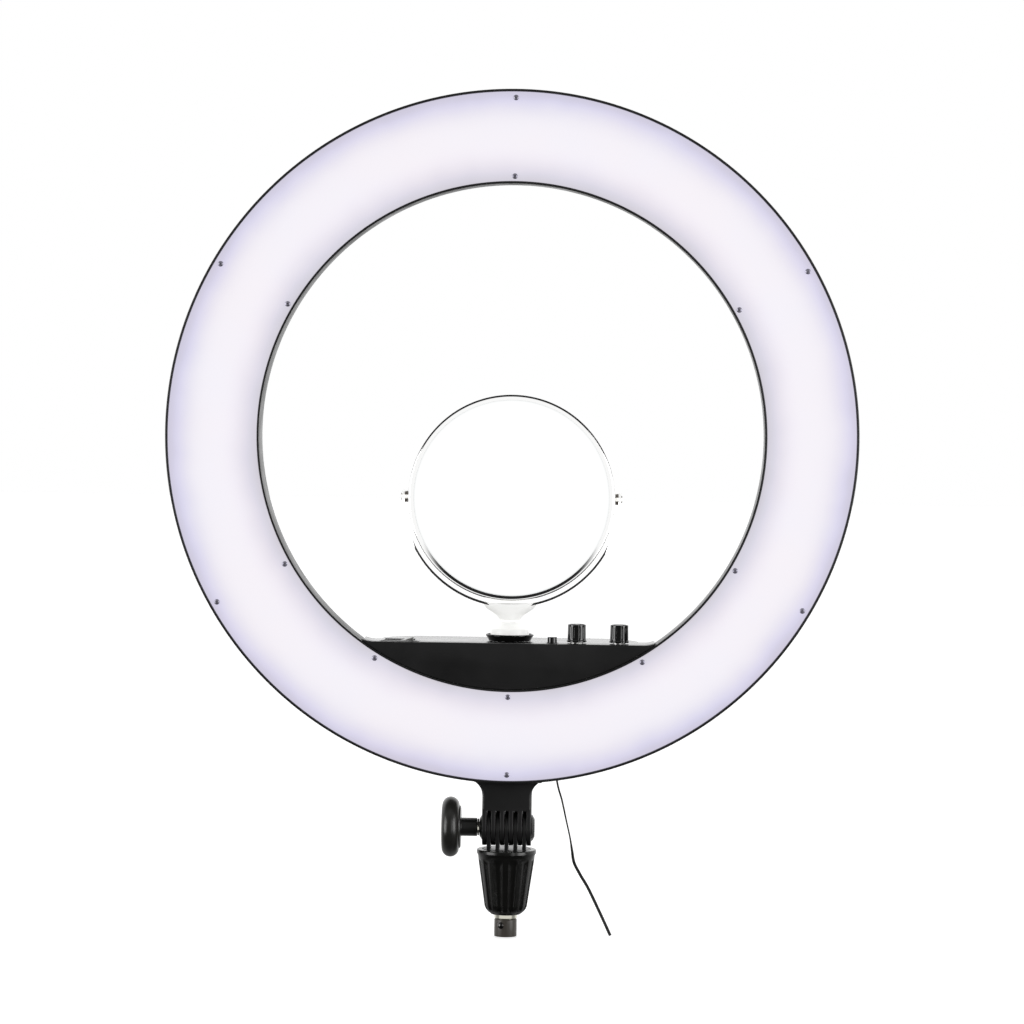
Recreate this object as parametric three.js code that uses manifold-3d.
// LED ring light head on a stand spigot, with a fin-knuckle tilt bracket, a collet collar,
// a control box inside the ring and a double-sided mirror on a yoke.
// Units are millimetres, +Z is up and the light faces -Y. The origin is the centre of the
// flat lower end of the stand spigot.
import * as THREE from "three";
import { mergeVertices } from "three/addons/utils/BufferGeometryUtils.js";
import Module from "manifold-3d";

const wasm = await Module();
wasm.setup();

// ---- driving dimensions -------------------------------------------------------------
const GAP = 0.3; // clearance between neighbouring solids
const SNUG_GAP = 0.35; // round the panel's round parts, and between ring and bracket
const WIDE_GAP = 0.4; // round the power switch and socket, and over the ring's rim

const AXIS_Z = 76; // tilt axis above the spigot's lower end
const COLLAR_Z = 61; // top plane of the grip collar
const RING_Z = 349; // centre of the ring
const RING_UP = RING_Z - AXIS_Z; // ring's centre above the tilt axis
const FRONT_Y = -22; // front plane of the ring

const RING_R = 240;
const OPEN_R = 175; // radius of the ring's opening
const RING_DEPTH = 34;
const RING_SEGMENTS = 56;
const WALL = 2.2;

const CHORD_Z = -142.7; // control panel's top, below the ring's centre
const SEAT_Y = 29; // mirror seat behind the front plane
const STUD_R = 3.15; // stud that holds the mirror's stem
const STUD_HOLE_R = STUD_R + SNUG_GAP;

const SPIGOT_R = 7.9;
const BOLT_R = 4;
const BORE_R = BOLT_R + GAP;

// Knuckle: upper and lower fins interleave along the tilt axis.
const FIN_PITCH = 6.2;
const UPPER_FIN_T = 3;
const FIN_SLOT = FIN_PITCH - UPPER_FIN_T;
const LOWER_FIN_T = FIN_SLOT - 2 * GAP;
const UPPER_FIN_R = 12.5;
const LOWER_FIN_R = 12;
const LOWER_FIN_X = [-2, -1, 0, 1, 2].map((i) => i * FIN_PITCH);
const KNUCKLE_HALF = 2 * FIN_PITCH + FIN_SLOT / 2 + UPPER_FIN_T;

// Screws that hold the bracket to the ring's back, above the tilt axis
const BRACKET_SCREWS = [-14, 14].flatMap((x) => [51, 78].map((z) => ({ x, z })));
const BRACKET_HOLE_R = 2.1;

// ---- helpers ------------------------------------------------------------------------
const QUARTER = Math.PI / 2;
const deg = THREE.MathUtils.degToRad;
const polar = (radius, angle) => [radius * Math.cos(angle), radius * Math.sin(angle)];

// A three.js geometry as a closed manifold solid, with its faces turned outwards.
function solid(geometry) {
  const flat = geometry.index ? geometry.toNonIndexed() : geometry;
  const bare = new THREE.BufferGeometry();
  bare.setAttribute("position", flat.getAttribute("position"));
  const merged = mergeVertices(bare, 1e-4);
  const positions = merged.attributes.position.array;
  const index = merged.index.array;
  const vertex = (i) => new THREE.Vector3().fromArray(positions, 3 * i);
  const triangles = [];
  let volume = 0;
  for (let i = 0; i < index.length; i += 3) {
    const [a, b, c] = index.slice(i, i + 3);
    if (a === b || b === c || a === c) continue;
    triangles.push([a, b, c]);
    volume += vertex(a).dot(vertex(b).cross(vertex(c))) / 6;
  }
  const outward = volume < 0 ? triangles.map(([a, b, c]) => [a, c, b]) : triangles;
  return new wasm.Manifold(
    new wasm.Mesh({
      numProp: 3,
      vertProperties: new Float32Array(positions),
      triVerts: new Uint32Array(outward.flat()),
    }),
  );
}

function geometryOf(body) {
  const mesh = body.getMesh();
  const geometry = new THREE.BufferGeometry()
    .setAttribute("position", new THREE.Float32BufferAttribute(mesh.vertProperties, 3))
    .setIndex(new THREE.Uint32BufferAttribute(mesh.triVerts, 1));
  geometry.computeVertexNormals();
  return geometry;
}

const cut = (body, ...tools) => tools.reduce((rest, tool) => rest.subtract(tool), body);
const join = (body, ...parts) => parts.reduce((sum, part) => sum.add(part), body);

const box = (x0, y0, z0, x1, y1, z1) =>
  solid(
    new THREE.BoxGeometry(x1 - x0, y1 - y0, z1 - z0).translate(
      (x0 + x1) / 2,
      (y0 + y1) / 2,
      (z0 + z1) / 2,
    ),
  );

// Round geometries stand along Y; these lay them along X or Z.
const alongX = (geometry) => geometry.rotateZ(-QUARTER);
const alongZ = (geometry) => geometry.rotateX(QUARTER);

// Body of revolution. The profile is [radius, height] pairs; one that starts off the axis
// is closed into a loop. reshape(radius, height, angle) gives a vertex its new radius.
function lathe(profile, segments, reshape) {
  const points = profile.map(([radius, height]) => new THREE.Vector2(radius, height));
  if (profile[0][0] > 0) points.push(points[0].clone());
  const geometry = new THREE.LatheGeometry(points, segments);
  if (reshape) {
    const vertices = geometry.attributes.position;
    for (let i = 0; i < vertices.count; i++) {
      const [x, z] = [vertices.getX(i), vertices.getZ(i)];
      const radius = Math.hypot(x, z);
      if (radius <= 1e-6) continue;
      const scale = reshape(radius, vertices.getY(i), Math.atan2(x, z)) / radius;
      vertices.setX(i, x * scale);
      vertices.setZ(i, z * scale);
    }
  }
  return geometry;
}
const latheX = (...profile) => solid(alongX(lathe(...profile)));
const latheY = (...profile) => solid(lathe(...profile));
const latheZ = (...profile) => solid(alongZ(lathe(...profile)));

const cylinder = (radius, from, to, segments) =>
  new THREE.CylinderGeometry(radius, radius, to - from, segments).translate(
    0,
    (from + to) / 2,
    0,
  );
const cylX = (...size) => solid(alongX(cylinder(...size)));
const cylY = (...size) => solid(cylinder(...size));
const cylZ = (...size) => solid(alongZ(cylinder(...size)));

const polygon = (points) => new THREE.Shape(points.map(([a, b]) => new THREE.Vector2(a, b)));
const extrude = (shape, depth, curveSegments) =>
  new THREE.ExtrudeGeometry(shape, { depth, bevelEnabled: false, curveSegments });
// An outline in Y and Z, extruded from x0 to x1.
const extrudeX = (shape, x0, x1, curveSegments) =>
  solid(
    extrude(shape, x1 - x0, curveSegments).applyMatrix4(
      new THREE.Matrix4()
        .makeBasis(
          new THREE.Vector3(0, 1, 0),
          new THREE.Vector3(0, 0, 1),
          new THREE.Vector3(1, 0, 0),
        )
        .setPosition(x0, 0, 0),
    ),
  );
// An outline in X and Z, extruded from y0 to y1. A polygon needs no curveSegments.
const extrudeY = (shape, y0, y1, curveSegments = 12) =>
  solid(extrude(shape, y1 - y0, curveSegments).rotateX(QUARTER).translate(0, y1, 0));

// ---- materials ----------------------------------------------------------------------
const plastic = (look) => new THREE.MeshStandardMaterial({ metalness: 0, ...look });
const metal = (look) => new THREE.MeshStandardMaterial({ metalness: 1, ...look });
const materials = {
  black_plastic: plastic({ color: 0x1d1d1d, roughness: 0.42 }),
  opal: plastic({
    color: 0xf2eef8,
    roughness: 0.5,
    emissive: 0xf0ecfa,
    emissiveIntensity: 0.6,
  }),
  screw_steel: metal({ color: 0x77757f, roughness: 0.35 }),
  board: plastic({ color: 0xe8e8e4, roughness: 0.6 }),
  circuit: plastic({ color: 0x1f4a30, roughness: 0.5 }),
  knob_plastic: plastic({ color: 0x161616, roughness: 0.25 }),
  chrome: metal({ color: 0xdedede, roughness: 0.06 }),
  mirror: metal({ color: 0xf2f4f5, roughness: 0.01 }),
  steel: metal({ color: 0xa9a9a6, roughness: 0.3 }),
  cable: plastic({ color: 0x191919, roughness: 0.55 }),
  tube: metal({ color: 0x3b3836, roughness: 0.35, metalness: 0.6 }),
  nickel: metal({ color: 0xe6e4d8, roughness: 0.22 }),
};

function piece(parent, name, material, body, x = 0, y = 0, z = 0) {
  const mesh = new THREE.Mesh(geometryOf(body), materials[material]);
  mesh.name = name;
  mesh.position.set(x, y, z);
  parent.add(mesh);
}

function group(parent, x = 0, y = 0, z = 0) {
  const child = new THREE.Group();
  child.position.set(x, y, z);
  parent.add(child);
  return child;
}

const ringLight = new THREE.Group();

// ---- stand: the tube's upper end, the spigot pressed into it and the rivet that holds it
const RIVET_ANGLE = deg(-115); // round the tube's axis, on its front left
const RIVET_Z = 8;

// Turns a geometry's Y axis outwards and sets it on the tube's wall.
const onTube = (geometry) =>
  solid(alongX(geometry).translate(SPIGOT_R, 0, 0).rotateZ(RIVET_ANGLE).translate(0, 0, RIVET_Z));

const rivetHole = onTube(cylinder(1.3, -5, 5, 8));

const standTube = () =>
  latheZ([[6.5, 0], [SPIGOT_R, 0], [SPIGOT_R, 10.7], [7.5, 11.1], [6.5, 11.1]], 24)
    .subtract(rivetHole);

const standSpigot = () =>
  latheZ(
    [
      [0, 0], [6.2, 0], [6.2, 11.4],
      [SPIGOT_R, 11.4], [SPIGOT_R, 43.6], [6.9, 45], [0, 45],
    ],
    24,
  ).subtract(rivetHole);

const tubeRivet = () =>
  onTube(lathe([[0, -4.4], [1, -4.4], [1, 0.25], [1.9, 0.25], [1.2, 1.1], [0, 1.35]], 8));

const stand = group(ringLight);
piece(stand, "stand_tube", "tube", standTube());
piece(stand, "stand_spigot", "nickel", standSpigot());
piece(stand, "tube_rivet", "steel", tubeRivet());

// ---- swivel base: lower fins, deck, threaded body and split collet ------------------
const DECK_TOP = COLLAR_Z - AXIS_Z; // below the tilt axis
const LOWER_FIN_DIP = 12; // degrees the fin's arc runs below the axis at each end

function lowerFin(x) {
  const start = deg(-LOWER_FIN_DIP);
  const outline = polygon([
    [-8.5, DECK_TOP - 2],
    [8.5, DECK_TOP - 2],
    polar(LOWER_FIN_R, start),
  ]);
  outline.absarc(0, 0, LOWER_FIN_R, start, deg(180 + LOWER_FIN_DIP), false);
  outline.closePath();
  return extrudeX(outline, x - LOWER_FIN_T / 2, x + LOWER_FIN_T / 2, 8);
}

function tiltBase() {
  const body = latheZ(
    [
      [0, DECK_TOP],
      [16.6, DECK_TOP], [16.6, DECK_TOP - 7],
      [15.2, DECK_TOP - 7], [15.2, DECK_TOP - 23],
      [11.6, DECK_TOP - 26], [10.8, DECK_TOP - 42.6],
      [8.3, DECK_TOP - 42.6], [8.3, -29.5],
      [0, -29.5],
    ],
    24,
  );
  const slits = [45, 135].map((angle) =>
    box(-20, -1, DECK_TOP - 44, 20, 1, DECK_TOP - 28).rotate([0, 0, angle]),
  );
  return cut(join(body, ...LOWER_FIN_X.map(lowerFin)), cylX(BORE_R, -20, 20, 12), ...slits);
}

const swivel = group(ringLight, 0, 0, AXIS_Z);
piece(swivel, "tilt_base", "black_plastic", tiltBase());

// ---- grip collar: fluted nut that closes the collet on the spigot -------------------
const COLLAR_R = 20.8;
const COLLAR_H = 45.5;
const FLUTE_PITCH = deg(30);
const FLUTE_OFFSET = deg(5);
const FLUTE_DEPTH = 1.3;

// Sinks grooves into the collar's tapering outside only.
function flute(radius, z, angle) {
  const onTaper = z <= -10 && radius >= 14 && (radius >= 16 || z <= -30);
  if (!onTaper) return radius;
  const phase = ((((angle + FLUTE_OFFSET) / FLUTE_PITCH) % 1) + 1) % 1;
  return Math.abs(phase - 0.5) < 0.13 ? radius - FLUTE_DEPTH : radius;
}

const gripCollar = () =>
  latheZ(
    [
      // outside, downwards
      [17, 0], [20.4, 0], [COLLAR_R, -0.5], [COLLAR_R, -2.6],
      [19.9, -4.2], [18.9, -11], [14.9, -39.3], [11, -44.6], [10.2, -COLLAR_H],
      // inside, upwards
      [8.7, -COLLAR_H], [8.7, -43.3], [11.3, -43.3], [12.1, -26.8],
      [15.6, -23], [15.6, -7.4], [17, -7.4],
    ],
    36,
    flute,
  );

const collar = group(ringLight, 0, 0, COLLAR_Z);
piece(collar, "grip_collar", "black_plastic", gripCollar());

// ---- tilting head: everything below hangs on the tilt axis --------------------------
const head = group(ringLight, 0, 0, AXIS_Z);

// ---- tension handwheel, bolt, washer and cap; profiles are [radius, x] --------------
const handwheel = () =>
  latheX(
    [
      [BORE_R, -39.8], [BORE_R, -20.65], [6, -20.65], [6.4, -21.1], [6.4, -32.1],
      [14.2, -32.1], [18.4, -32.9], [20.6, -35.8], [21, -39], [20.2, -42.6],
      [17.8, -44.9], [14.8, -45.4], [9, -43.8], [0, -43.3], [0, -39.8],
    ],
    28,
  );

const hingeBolt = () => latheX([[0, -39.4], [BOLT_R, -39.4], [BOLT_R, 18], [0, 18]], 16);

const tensionWasher = () =>
  latheX([[BORE_R, -20.35], [5.9, -20.35], [5.9, -19.3], [BORE_R, -19.3]], 20);

const hingeCap = () =>
  latheX(
    [
      [0, 18.4], [BORE_R, 18.4], [BORE_R, 17.3],
      [9.2, 17.3], [9.2, 17.6], [6.2, 19.4], [0, 19.6],
    ],
    20,
  );

piece(head, "tension_handwheel", "black_plastic", handwheel());
piece(head, "hinge_bolt", "steel", hingeBolt());
piece(head, "tension_washer", "steel", tensionWasher());
piece(head, "hinge_cap", "black_plastic", hingeCap());

// ---- bracket: upper fins, neck and back plate ---------------------------------------
const PLATE_Y = FRONT_Y + RING_DEPTH + SNUG_GAP; // plate's front face
const PLATE_BACK = PLATE_Y + 5;
const PLATE_TOP = 88;
const PLATE_HALF = 24;
const PLATE_CORNER = 8;

// Side view, in Y and Z.
function bracketSide() {
  const side = polygon([
    [UPPER_FIN_R, 0],
    [UPPER_FIN_R, 12],
    [PLATE_BACK, 34],
    [PLATE_BACK, PLATE_TOP - 2],
    [PLATE_BACK - 1, PLATE_TOP],
    [PLATE_Y, PLATE_TOP],
    [PLATE_Y, 40],
    [-UPPER_FIN_R, 40],
    [-UPPER_FIN_R, 20],
    [-UPPER_FIN_R, 12],
    [-UPPER_FIN_R, 0],
  ]);
  side.absarc(0, 0, UPPER_FIN_R, Math.PI, 2 * Math.PI, false);
  side.closePath();
  return side;
}

// Front view, in X and Z: the knuckle widens into the plate.
function bracketFront() {
  const knuckleFoot = -UPPER_FIN_R - 1;
  const cornerX = PLATE_HALF - PLATE_CORNER;
  const cornerZ = PLATE_TOP - PLATE_CORNER;
  const front = new THREE.Shape();
  front.moveTo(-KNUCKLE_HALF, knuckleFoot);
  front.lineTo(-KNUCKLE_HALF, 23);
  front.bezierCurveTo(-KNUCKLE_HALF, 28.6, -19.2, 31.4, -PLATE_HALF, 34.2);
  front.lineTo(-PLATE_HALF, cornerZ);
  front.quadraticCurveTo(-PLATE_HALF, PLATE_TOP, -cornerX, PLATE_TOP);
  front.lineTo(cornerX, PLATE_TOP);
  front.quadraticCurveTo(PLATE_HALF, PLATE_TOP, PLATE_HALF, cornerZ);
  front.lineTo(PLATE_HALF, 34.2);
  front.bezierCurveTo(19.2, 31.4, KNUCKLE_HALF, 28.6, KNUCKLE_HALF, 23);
  front.lineTo(KNUCKLE_HALF, knuckleFoot);
  front.closePath();
  return front;
}

function mountBracket() {
  const blank = extrudeX(bracketSide(), -26, 26, 12).intersect(
    extrudeY(bracketFront(), -16, PLATE_BACK + 1, 5),
  );
  const ringSpace = cylY(RING_R + WIDE_GAP, PLATE_Y - 60, PLATE_Y, RING_SEGMENTS);
  const finSlots = LOWER_FIN_X.map((x) =>
    box(x - FIN_SLOT / 2, -20, -14, x + FIN_SLOT / 2, 20, 12.6),
  );
  // boss on the knuckle's handwheel side
  const boss = latheX([[0, -18.98], [6.2, -18.98], [9.4, -16.9], [0, -16.9]], 20);
  const screwHoles = BRACKET_SCREWS.map(({ x, z }) =>
    cylY(BRACKET_HOLE_R, PLATE_Y - 2, PLATE_Y + 8, 8).translate([x, 0, z]),
  );
  return cut(
    cut(blank, ringSpace.translate([0, 0, RING_UP]), ...finSlots).add(boss),
    cylX(BORE_R, -25, 25, 12),
    ...screwHoles,
  );
}

const bracketScrew = () =>
  latheY(
    [
      [0, PLATE_Y - 2.25],
      [1.7, PLATE_Y - 2.25], [1.7, PLATE_Y + 5.3],
      [3.6, PLATE_Y + 5.3], [3.4, PLATE_Y + 6.6],
      [0, PLATE_Y + 7.4],
    ],
    10,
  );

piece(head, "mount_bracket", "black_plastic", mountBracket());
BRACKET_SCREWS.forEach(({ x, z }, i) =>
  piece(head, `bracket_screw_${i + 1}`, "screw_steel", bracketScrew(), x, 0, z),
);

// ---- ring: origin at the centre of its front plane, +Y is depth ---------------------
const RIM = 1.6; // thickness of the rims seen round the diffuser
const EDGE_CHAMFER = 4.5; // on the ring's rear edges
const LEDGE_Y = 3.4; // depth of the diffuser's seat
const LEDGE_BACK = LEDGE_Y + 2.4;
const DIFFUSER_T = 3;
const SCREW_HEAD_R = 1.95;
const SCREW_SHANK_R = 1.15;
const BACK_CUT = [RING_DEPTH - 4, RING_DEPTH + 2]; // reach of cuts through the back wall

// Diffuser screws: radius and angles in degrees from +X towards +Z
const SCREW_ROWS = {
  outer: { radius: 233.9, angles: [90, 30, -30, -90, -150, 150] },
  inner: { radius: 179.9, angles: [90, 30, -30, -59, -90, -121, -150, 150] },
};
const DIFFUSER_SCREWS = Object.entries(SCREW_ROWS).flatMap(([row, { radius, angles }]) =>
  angles.map((angle, i) => {
    const [x, z] = polar(radius, deg(angle));
    return { name: `${row}_screw_${i + 1}`, x, z };
  }),
);

const LED_ROWS = [[199, 19], [216, 15]]; // radius, first LED's angle in its quarter
const LED_STEP = 28;
const LED_HALF = 2.5;

// The switch's body is deeper than the control box there, so it passes through a window in
// the box's lower wall and in the ring's inner wall. Drawn in the control box's frame.
const SWITCH_X = -76;
const SWITCH_Y = 15;
const SWITCH_BODY = { halfX: 12, halfY: 8, depth: 13.6 };
function switchWindow(top) {
  const halfX = SWITCH_BODY.halfX + WIDE_GAP;
  const halfY = SWITCH_BODY.halfY + WIDE_GAP;
  const bottom = -SWITCH_BODY.depth - WIDE_GAP;
  return box(
    SWITCH_X - halfX, SWITCH_Y - halfY, bottom,
    SWITCH_X + halfX, SWITCH_Y + halfY, top,
  );
}

const diffuserHoles = (y0, y1) =>
  DIFFUSER_SCREWS.map(({ x, z }) => cylY(SCREW_SHANK_R + GAP, y0, y1, 6).translate([x, 0, z]));

function ringHousing() {
  const tray = latheY(
    [
      // outside
      [RING_R, 0],
      [RING_R, RING_DEPTH - EDGE_CHAMFER],
      [RING_R - EDGE_CHAMFER, RING_DEPTH],
      [OPEN_R + EDGE_CHAMFER, RING_DEPTH],
      [OPEN_R, RING_DEPTH - EDGE_CHAMFER],
      [OPEN_R, 0],
      // inner rim and ledge
      [OPEN_R + RIM - 0.2, 0],
      [OPEN_R + RIM - 0.2, LEDGE_Y],
      [OPEN_R + 8.2, LEDGE_Y],
      [OPEN_R + 8.2, LEDGE_BACK],
      // cavity
      [OPEN_R + WALL, LEDGE_BACK],
      [OPEN_R + WALL + 2.4, RING_DEPTH - WALL],
      [RING_R - WALL - 2.4, RING_DEPTH - WALL],
      [RING_R - WALL, LEDGE_BACK],
      // outer ledge and rim
      [RING_R - 9, LEDGE_BACK],
      [RING_R - 9, LEDGE_Y],
      [RING_R - RIM, LEDGE_Y],
      [RING_R - RIM, 0],
    ],
    RING_SEGMENTS,
  );
  const [y0, y1] = BACK_CUT;
  // cooling slots, three round each diagonal
  const coolingSlots = [45, 135, 225, 315].flatMap((middle) =>
    [-4, 0, 4].map((offset) =>
      box(197, y0, -1.6, 220, y1, 1.6).rotate([0, -(middle + offset), 0]),
    ),
  );
  const bracketHoles = BRACKET_SCREWS.map(({ x, z }) =>
    cylY(BRACKET_HOLE_R, y0, y1, 8).translate([x, 0, z - RING_UP]),
  );
  return cut(
    tray,
    ...diffuserHoles(3, 7),
    ...coolingSlots,
    ...bracketHoles,
    switchWindow(0).translate([0, 0, CHORD_Z]),
  );
}

function frontDiffuser() {
  const inner = OPEN_R + RIM + 0.1;
  const outer = RING_R - RIM - 0.3;
  const panel = latheY(
    [[inner, 0], [outer, 0], [outer, DIFFUSER_T], [inner, DIFFUSER_T]],
    RING_SEGMENTS,
  );
  return cut(panel, ...diffuserHoles(-1, 4));
}

const diffuserScrew = () =>
  latheY(
    [
      [0, 5.4],
      [SCREW_SHANK_R - 0.15, 5.4], [SCREW_SHANK_R - 0.15, -0.3],
      [SCREW_HEAD_R, -0.3], [SCREW_HEAD_R, -0.8],
      [1.2, -1.4], [0, -1.4],
    ],
    6,
  );

// Aluminium LED board covering the quarter of the ring that starts at an angle in degrees.
function ledBoard(start) {
  const [from, to] = [deg(start + 1.2), deg(start + 88.8)];
  const outline = new THREE.Shape();
  outline.absarc(0, 0, 229, from, to, false);
  outline.absarc(0, 0, 186, to, from, true);
  outline.closePath();
  const leds = LED_ROWS.flatMap(([radius, first]) =>
    [0, 1, 2].map((k) =>
      box(radius - LED_HALF, 28.7, -LED_HALF, radius + LED_HALF, 30.3, LED_HALF)
        .rotate([0, -(start + first + k * LED_STEP), 0]),
    ),
  );
  return join(extrudeY(outline, 29.7, 31.2, 10), ...leds);
}

const ring = group(head, 0, FRONT_Y, RING_UP);
piece(ring, "ring_housing", "black_plastic", ringHousing());
piece(ring, "front_diffuser", "opal", frontDiffuser());
for (const { name, x, z } of DIFFUSER_SCREWS)
  piece(ring, name, "screw_steel", diffuserScrew(), x, 0, z);
for (let quarter = 0; quarter < 4; quarter++)
  piece(ring, `led_board_${quarter + 1}`, "board", ledBoard(quarter * 90));

// ---- control box: origin on the panel's top at the front plane ----------------------
const BOX_R = OPEN_R - 0.5; // lower arc
const BOX_DEPTH = 65;
const BOX_FILLET = 22; // from the panel up into the ring's inner wall
const FILLET_TIP = 0.9; // least thickness where the fillet runs out
const BOX_EAR_DEPTH = 32; // the fillets stop near the ring's back
const BOX_EAR_X = 110; // beyond the fillets' ends
const BOX_CORNER = { x: 60, halfX: 30, halfY: 33 }; // rear corner ellipse in plan
const FASCIA_T = 3;
const PANEL_T = 2.4;
const RING_CENTRE = -CHORD_Z; // ring's centre above the panel

const POT_X = { dimmer: 47, colour: 76.5 };
const POT_Y = 14;
const POT_BUSH_R = 4.45;
const KNOB_R = 6.45;
const KNOB_BASE_R = 6.85;
const KNOB_H = 13.2;
const BUTTON_X = 30;
const BUTTON_Y = 13;
const BUTTON_R = 3.3;
const BUTTON_FOOT = -5;
const BUTTON_TRAVEL = 1.5;
const BEZEL_L = 28; // power switch's bezel
const BEZEL_W = 21;
const SOCKET_X = 30;
const SOCKET_Y = 50;
const SOCKET_R = 5.5;

// Front view in X and Z: a circle segment under the panel, with a fillet up at both ends.
function controlOutline() {
  const filletX = Math.sqrt((BOX_R - BOX_FILLET) ** 2 - (RING_CENTRE - BOX_FILLET) ** 2);
  const fillet = [];
  for (let angle = -90; angle < 0; angle += 6) {
    const [dx, dz] = polar(BOX_FILLET, deg(angle));
    const [x, z] = [filletX + dx, BOX_FILLET + dz];
    if (BOX_R - Math.hypot(x, z - RING_CENTRE) < FILLET_TIP) break;
    fillet.push([x, z]);
  }
  const [endX, endZ] = fillet.at(-1);
  const start = Math.atan2(endZ - RING_CENTRE, endX);
  const arc = [];
  for (let i = 0; i <= 24; i++) {
    const [x, z] = polar(BOX_R, start + ((-Math.PI - 2 * start) * i) / 24);
    arc.push([x, RING_CENTRE + z]);
  }
  return polygon([...fillet, ...arc, ...fillet.map(([x, z]) => [-x, z]).reverse()]);
}

// Front view of the hollow, a circle segment.
function hollowOutline() {
  const radius = BOX_R - WALL;
  const half = Math.acos((RING_CENTRE + PANEL_T) / radius);
  const points = [];
  for (let i = 0; i <= 16; i++) {
    const [x, z] = polar(radius, -QUARTER - half + (2 * half * i) / 16);
    points.push([x, RING_CENTRE + z]);
  }
  return polygon(points);
}

// Plan of the box in X and Y: wide ears inside the ring, rounded corners behind it.
// An inset plan is that of the hollow, and has no ears.
function boxPlan(inset) {
  const halfX = BOX_CORNER.halfX - inset;
  const halfY = BOX_CORNER.halfY - inset;
  const side = inset
    ? [[BOX_CORNER.x + halfX, -5]]
    : [[BOX_EAR_X, -5], [BOX_EAR_X, BOX_EAR_DEPTH]];
  for (let i = 0; i <= 8; i++) {
    const angle = (Math.PI * i) / 16;
    side.push([
      BOX_CORNER.x + halfX * Math.cos(angle),
      BOX_EAR_DEPTH + halfY * Math.sin(angle),
    ]);
  }
  const plan = polygon([...side, ...side.map(([x, y]) => [-x, y]).reverse()]);
  return solid(extrude(plan, 90)).translate([0, 0, -60]);
}

function controlBox() {
  const outer = extrudeY(controlOutline(), FASCIA_T + GAP, BOX_DEPTH).intersect(boxPlan(0));
  const hollow = extrudeY(hollowOutline(), 0, BOX_DEPTH - WALL).intersect(boxPlan(WALL));
  const panelHole = (radius, x, y) => cylZ(radius, -4, 2, 14).translate([x, y, 0]);
  const rearSlots = [-18, -9, 0, 9, 18].map((x) => box(x - 1.5, 60, -18, x + 1.5, 70, -8));
  return cut(
    outer,
    hollow,
    ...Object.values(POT_X).map((x) => panelHole(POT_BUSH_R + SNUG_GAP, x, POT_Y)),
    panelHole(BUTTON_R + SNUG_GAP, BUTTON_X, BUTTON_Y),
    panelHole(STUD_HOLE_R, 0, SEAT_Y),
    switchWindow(2),
    cylZ(SOCKET_R + WIDE_GAP, -36, -20, 14).translate([SOCKET_X, SOCKET_Y, 0]),
    ...rearSlots,
  );
}

// Board with its parts underneath.
const driverBoard = () =>
  join(
    box(-57, 8, -17.7, 57, 40, -16.1),
    box(-38, 12, -22, -20, 26, -17),
    box(-12, 12, -22.4, 4, 22, -17),
    cylZ(4, -22, -17, 16).translate([14, 18, 0]),
    cylZ(4, -22, -17, 16).translate([14, 30, 0]),
    box(22, 12, -20.5, 36, 24, -17),
  );

const pot = () =>
  box(-4.7, -6.5, -7.5, 4.7, 6.5, -2.75)
    .add(cylZ(POT_BUSH_R, -3, 1.8, 14))
    .subtract(cylZ(3.3, -6.4, 3, 14));

const potShaft = () => latheZ([[0, -6], [3, -6], [3, 9.8], [0, 9.8]], 14);

// Twelve shallow grooves run up the knob's side.
const knobGroove = (radius, height, angle) =>
  radius > 6 && height > 2.5
    ? radius - 0.4 * (0.5 - 0.5 * Math.cos(12 * angle)) ** 2
    : radius;

const knob = () =>
  latheZ(
    [
      [0, 10.2], [3.3, 10.2], [3.3, 2.4], [5.2, 2.4], [5.2, 0.8],
      [KNOB_BASE_R, 0.8], [KNOB_R, 2.6],
      [KNOB_R - 0.2, KNOB_H - 0.8], [KNOB_R - 0.9, KNOB_H], [0, KNOB_H],
    ],
    24,
    knobGroove,
  );

const modeButton = () =>
  latheZ(
    [
      [0, BUTTON_FOOT], [4.7, BUTTON_FOOT], [4.7, -2.8],
      [BUTTON_R, -2.8], [BUTTON_R, 3.6], [BUTTON_R - 0.5, 4.1], [0, 4.2],
    ],
    20,
  );

const buttonSwitch = () =>
  box(-6, -6, -14.6, 6, 6, -9.2).add(
    cylZ(1.8, -9.5, BUTTON_FOOT - BUTTON_TRAVEL - GAP, 12),
  );

// Bezel and body, hollowed for the rocker.
function powerSwitch() {
  const { halfX, halfY, depth } = SWITCH_BODY;
  return box(-BEZEL_L / 2, -BEZEL_W / 2, 0.3, BEZEL_L / 2, BEZEL_W / 2, 1.2)
    .add(box(-halfX, -halfY, -depth, halfX, halfY, 0.8))
    .subtract(box(-10.6, -7.1, -7.5, 10.6, 7.1, 3));
}

const powerRocker = () =>
  extrudeY(
    polygon([
      [-9.7, 1.5], [-5, 0.6], [0, 0.2], [5, 0.6], [9.7, 1.5],
      [9.2, -2.4], [3, -4.8], [-3, -4.8], [-9.2, -2.4],
    ]),
    -6.7,
    6.7,
  ).rotate([0, -8, 0]);

// Socket in the box's underside, behind the ring.
const powerSocket = () =>
  latheZ(
    [
      [0, -20.5], [SOCKET_R, -20.5], [SOCKET_R, -29.2],
      [3.6, -29.2], [3.6, -24], [0, -24],
    ],
    14,
  );

// Dished seat under the mirror's stem.
const accessorySeat = () =>
  latheZ(
    [
      [STUD_HOLE_R, 0.3], [14.7, 0.3], [15.6, 2.2], [17, 4.2],
      [16.5, 4.8], [15.8, 4.5], [14.1, 1.3], [STUD_HOLE_R, 1.3],
    ],
    24,
  );

// Stud with a hexagonal head under the panel.
const accessoryStud = () => cylZ(STUD_R, -3.4, 8.6, 20).add(cylZ(6.4, -6.6, -2.75, 6));

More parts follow.
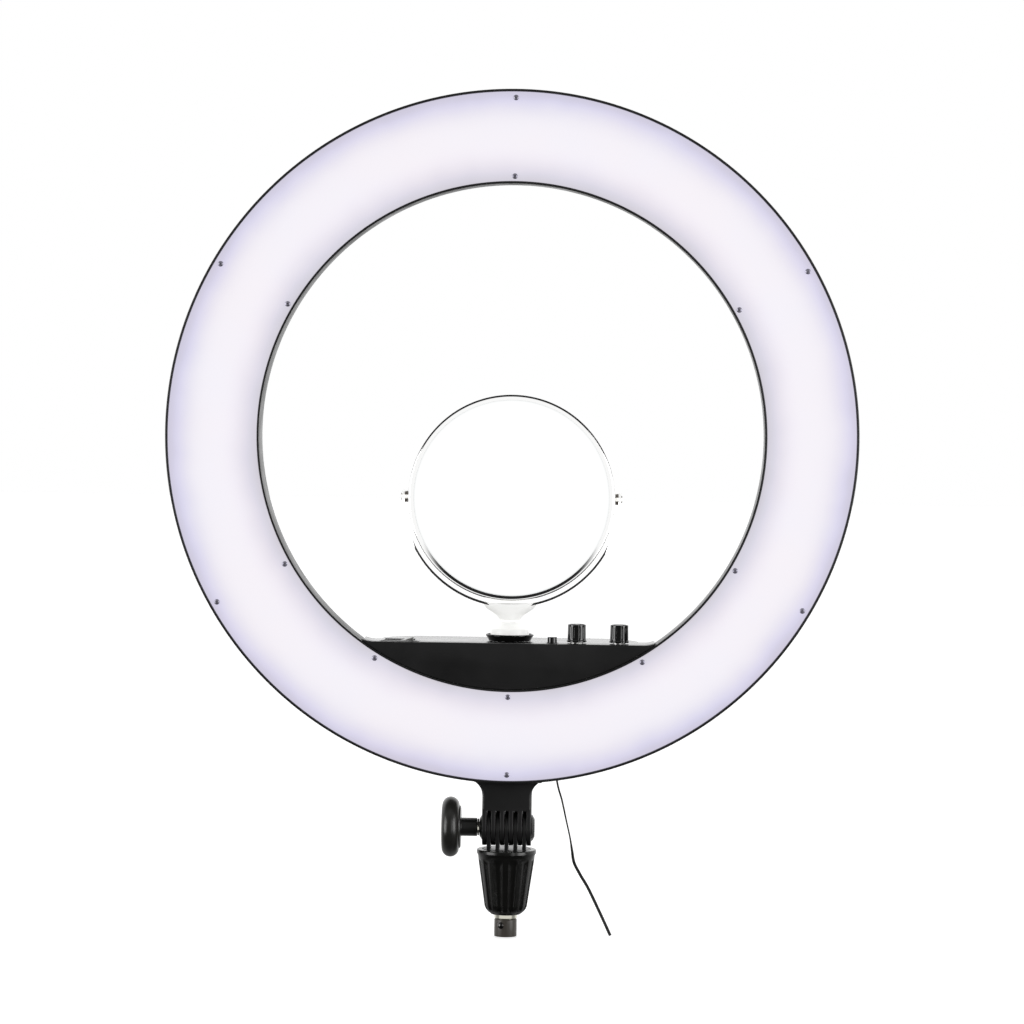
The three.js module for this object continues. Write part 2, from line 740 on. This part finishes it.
const control = group(ring, 0, 0, CHORD_Z);
piece(control, "control_fascia", "black_plastic", extrudeY(controlOutline(), 0, FASCIA_T));
piece(control, "control_box", "black_plastic", controlBox());
piece(control, "driver_board", "circuit", driverBoard());

for (const [name, x] of Object.entries(POT_X)) {
  const rotary = group(control, x, POT_Y, 0);
  piece(rotary, name + "_pot", "steel", pot());
  piece(rotary, name + "_shaft", "steel", potShaft());
  piece(rotary, name + "_knob", "knob_plastic", knob());
}

const button = group(control, BUTTON_X, BUTTON_Y, 0);
piece(button, "mode_button", "knob_plastic", modeButton());
piece(button, "button_switch", "circuit", buttonSwitch());

const power = group(control, SWITCH_X, SWITCH_Y, 0);
piece(power, "power_switch", "black_plastic", powerSwitch());
piece(power, "power_rocker", "knob_plastic", powerRocker());

piece(control, "power_socket", "knob_plastic", powerSocket(), SOCKET_X, SOCKET_Y, 0);
piece(control, "accessory_seat", "black_plastic", accessorySeat(), 0, SEAT_Y, 0);
piece(control, "accessory_stud", "steel", accessoryStud(), 0, SEAT_Y, 0);

// ---- power lead: plug in the socket, then the cable falling behind the ring ---------
// Cable's centreline from the plug downwards: x, y, z in the tilt axis' frame
const CABLE_PATH = [
  [30, 28, 73.9], [30.3, 27.8, 64], [31.8, 27.2, 46], [34.7, 26.4, 27.9],
  [38, 23.3, 16.9], [41.2, 19.6, 3.5], [44, 16.2, -8], [45.7, 13.6, -17.5],
  [47.2, 11.4, -25.2], [51.4, 9, -33], [57.5, 6.2, -42.7], [65.8, 1.6, -58.8],
  [73.4, -2.9, -74.2],
];
const CABLE_R = 1.05;

const cablePlug = () =>
  latheZ(
    [
      [0, -24.6], [2.7, -24.6], [2.7, -29.5], [5, -29.5],
      [5, -44], [3.6, -47], [2.6, -56], [0, -56],
    ],
    14,
  );

function powerCable() {
  const points = CABLE_PATH.map((point) => new THREE.Vector3(...point));
  const section = new THREE.Shape();
  section.absarc(0, 0, CABLE_R, 0, 2 * Math.PI, false);
  return solid(
    new THREE.ExtrudeGeometry(section, {
      steps: 26,
      extrudePath: new THREE.CatmullRomCurve3(points, false, "centripetal"),
      curveSegments: 4,
      bevelEnabled: false,
    }),
  );
}

const lead = group(ring, 0, -FRONT_Y, -RING_UP); // back in the tilt axis' frame
const plugPlace = [SOCKET_X, FRONT_Y + SOCKET_Y, RING_UP + CHORD_Z];
piece(lead, "cable_plug", "cable", cablePlug(), ...plugPlace);
piece(lead, "power_cable", "cable", powerCable());

// ---- mirror on its yoke: origin at the pivot axis' centre ---------------------------
const MIRROR_Z = -42.8; // pivot axis, below the ring's centre
const MIRROR_R = 72;
const MIRROR_DEPTH = 10.4;
const GLASS_R = 69;
const GLASS_NEAR = 1.5; // faces of each glass, from the mirror's middle plane
const GLASS_FAR = 3.9;
const YOKE_R = 76.4;
const YOKE_T = 1.5;
const YOKE_W = 12;
const YOKE_END = 4.4; // straight ends above the pivot axis
const HUB_TOP_R = 74.3; // hub at the yoke's foot
const HUB_HALF = 18.3;
const HUB_FOOT_HALF = 7.3;
const HUB_FOOT_Z = -85.4;

// Holes for both pivot pins, from a distance off the centre outwards.
const pinHoles = (from) => [cylX(1.8, -80, -from, 8), cylX(1.8, from, 80, 8)];

function mirrorFrame() {
  const half = MIRROR_DEPTH / 2;
  const frame = latheY(
    [
      [MIRROR_R, -half + 1.4], [MIRROR_R - 1.2, -half],
      [68.5, -half + 0.3], [68.5, -4.2],
      [69.3, -4.2], [69.3, -1.1], [65, -1.1],
      [65, 1.1], [69.3, 1.1], [69.3, 4.2],
      [68.5, 4.2], [68.5, half - 0.3],
      [MIRROR_R - 1.2, half], [MIRROR_R, half - 1.4],
    ],
    40,
  );
  return cut(frame, ...pinHoles(69.8));
}

// One edge of the half hoop, with its short straight ends.
function hoopEdge(radius) {
  const points = [[-radius, YOKE_END]];
  for (let i = 0; i <= 28; i++) points.push(polar(radius, Math.PI + (Math.PI * i) / 28));
  return [...points, [radius, YOKE_END]];
}

function yokeHub() {
  const half = Math.asin(HUB_HALF / HUB_TOP_R);
  const hub = new THREE.Shape();
  hub.absarc(0, 0, HUB_TOP_R, -QUARTER - half, -QUARTER + half, false);
  hub.lineTo(HUB_HALF, -76.9);
  hub.bezierCurveTo(15, -79.6, 8.2, -80.4, HUB_FOOT_HALF, HUB_FOOT_Z);
  hub.lineTo(-HUB_FOOT_HALF, HUB_FOOT_Z);
  hub.bezierCurveTo(-8.2, -80.4, -15, -79.6, -HUB_HALF, -76.9);
  hub.closePath();
  return extrudeY(hub, -7, 7, 6);
}

function mirrorYoke() {
  const outline = polygon([...hoopEdge(YOKE_R), ...hoopEdge(YOKE_R - YOKE_T).reverse()]);
  const hoop = extrudeY(outline, -YOKE_W / 2, YOKE_W / 2);
  const stemHole = cylZ(4.3, -90, -80.2, 14);
  return cut(hoop.add(yokeHub()), stemHole, ...pinHoles(73.5));
}

// Right-hand pin; the profile is [radius, x].
const pivotPin = () =>
  latheX(
    [
      [0, 70.2], [1.5, 70.2], [1.5, 72.4], [4.1, 72.4], [4.1, 74.6],
      [1.5, 74.6], [1.5, 76.7], [2.6, 76.7], [2.4, 77.2], [0, 77.4],
    ],
    12,
  );

const mirrorStem = () =>
  latheZ(
    [
      [0, 9.4], [STUD_HOLE_R, 9.4], [STUD_HOLE_R, 1.7], [13.5, 1.7], [13.5, 8.4],
      [12.7, 9.2], [8.6, 10.7], [7.3, 13.6], [4, 13.6], [4, 18.4], [0, 18.4],
    ],
    20,
  );

const mirror = group(ring, 0, SEAT_Y, MIRROR_Z);
const frontGlass = cylY(GLASS_R, -GLASS_FAR, -GLASS_NEAR, 40);
const backGlass = cylY(GLASS_R, GLASS_NEAR, GLASS_FAR, 40);
piece(mirror, "mirror_frame", "chrome", mirrorFrame());
piece(mirror, "mirror_glass_front", "mirror", frontGlass);
piece(mirror, "mirror_glass_back", "mirror", backGlass);
piece(mirror, "mirror_yoke", "chrome", mirrorYoke());
piece(mirror, "pivot_pin_left", "chrome", pivotPin().rotate([0, 0, 180]));
piece(mirror, "pivot_pin_right", "chrome", pivotPin());
piece(mirror, "mirror_stem", "chrome", mirrorStem(), 0, 0, CHORD_Z - MIRROR_Z);

export default ringLight;
